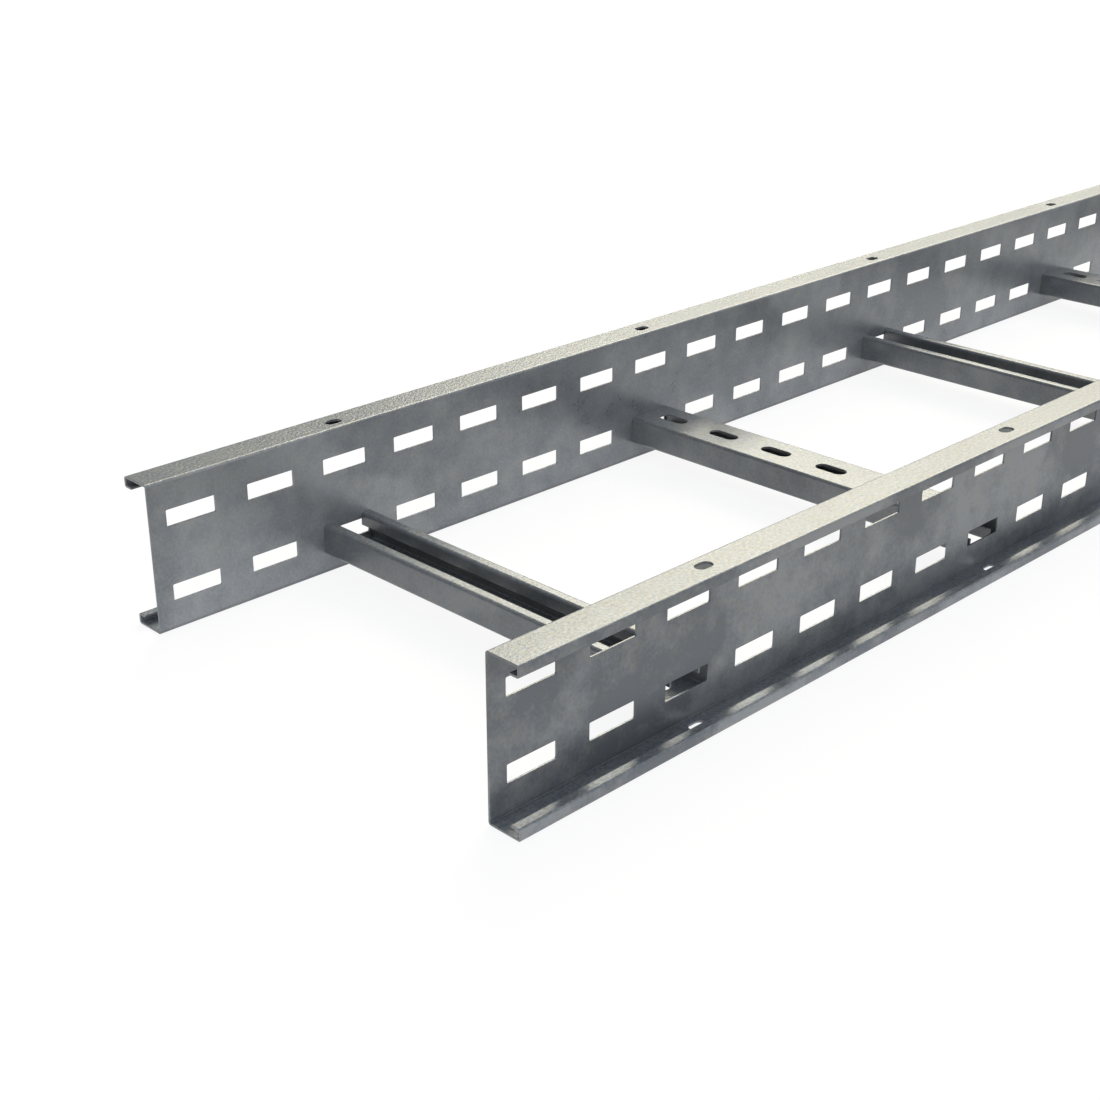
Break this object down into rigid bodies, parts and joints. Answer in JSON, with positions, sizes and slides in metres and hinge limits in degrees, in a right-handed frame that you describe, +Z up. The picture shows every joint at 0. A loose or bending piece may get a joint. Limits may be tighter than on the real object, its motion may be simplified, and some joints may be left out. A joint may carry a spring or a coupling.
{
  "type": "cable ladder section",
  "caption": "Straight cable ladder section: slotted side rails with outward flanges, joined by lipped channel rungs set mouth up and mouth down in turn.",
  "frame": {"origin": "on the level the rails lie on, under the middle of the section", "axes": "+X along the rails, +Y across from the front rail to the back rail, +Z up"},
  "size_m": [3, 0.348, 0.1],
  "materials": {
    "rail_zinc": "galvanised steel sheet, dull mottled zinc",
    "rung_zinc": "galvanised steel sheet, dull mottled zinc"
  },
  "bodies": {
    "root": {"side_rail_front": "rail_zinc", "side_rail_back": "rail_zinc", "rung_01": "rung_zinc", "rung_02": "rung_zinc", "rung_03": "rung_zinc", "rung_04": "rung_zinc", "rung_05": "rung_zinc", "rung_06": "rung_zinc", "rung_07": "rung_zinc", "rung_08": "rung_zinc", "rung_09": "rung_zinc", "rung_10": "rung_zinc"}
  },
  "joints": []
}
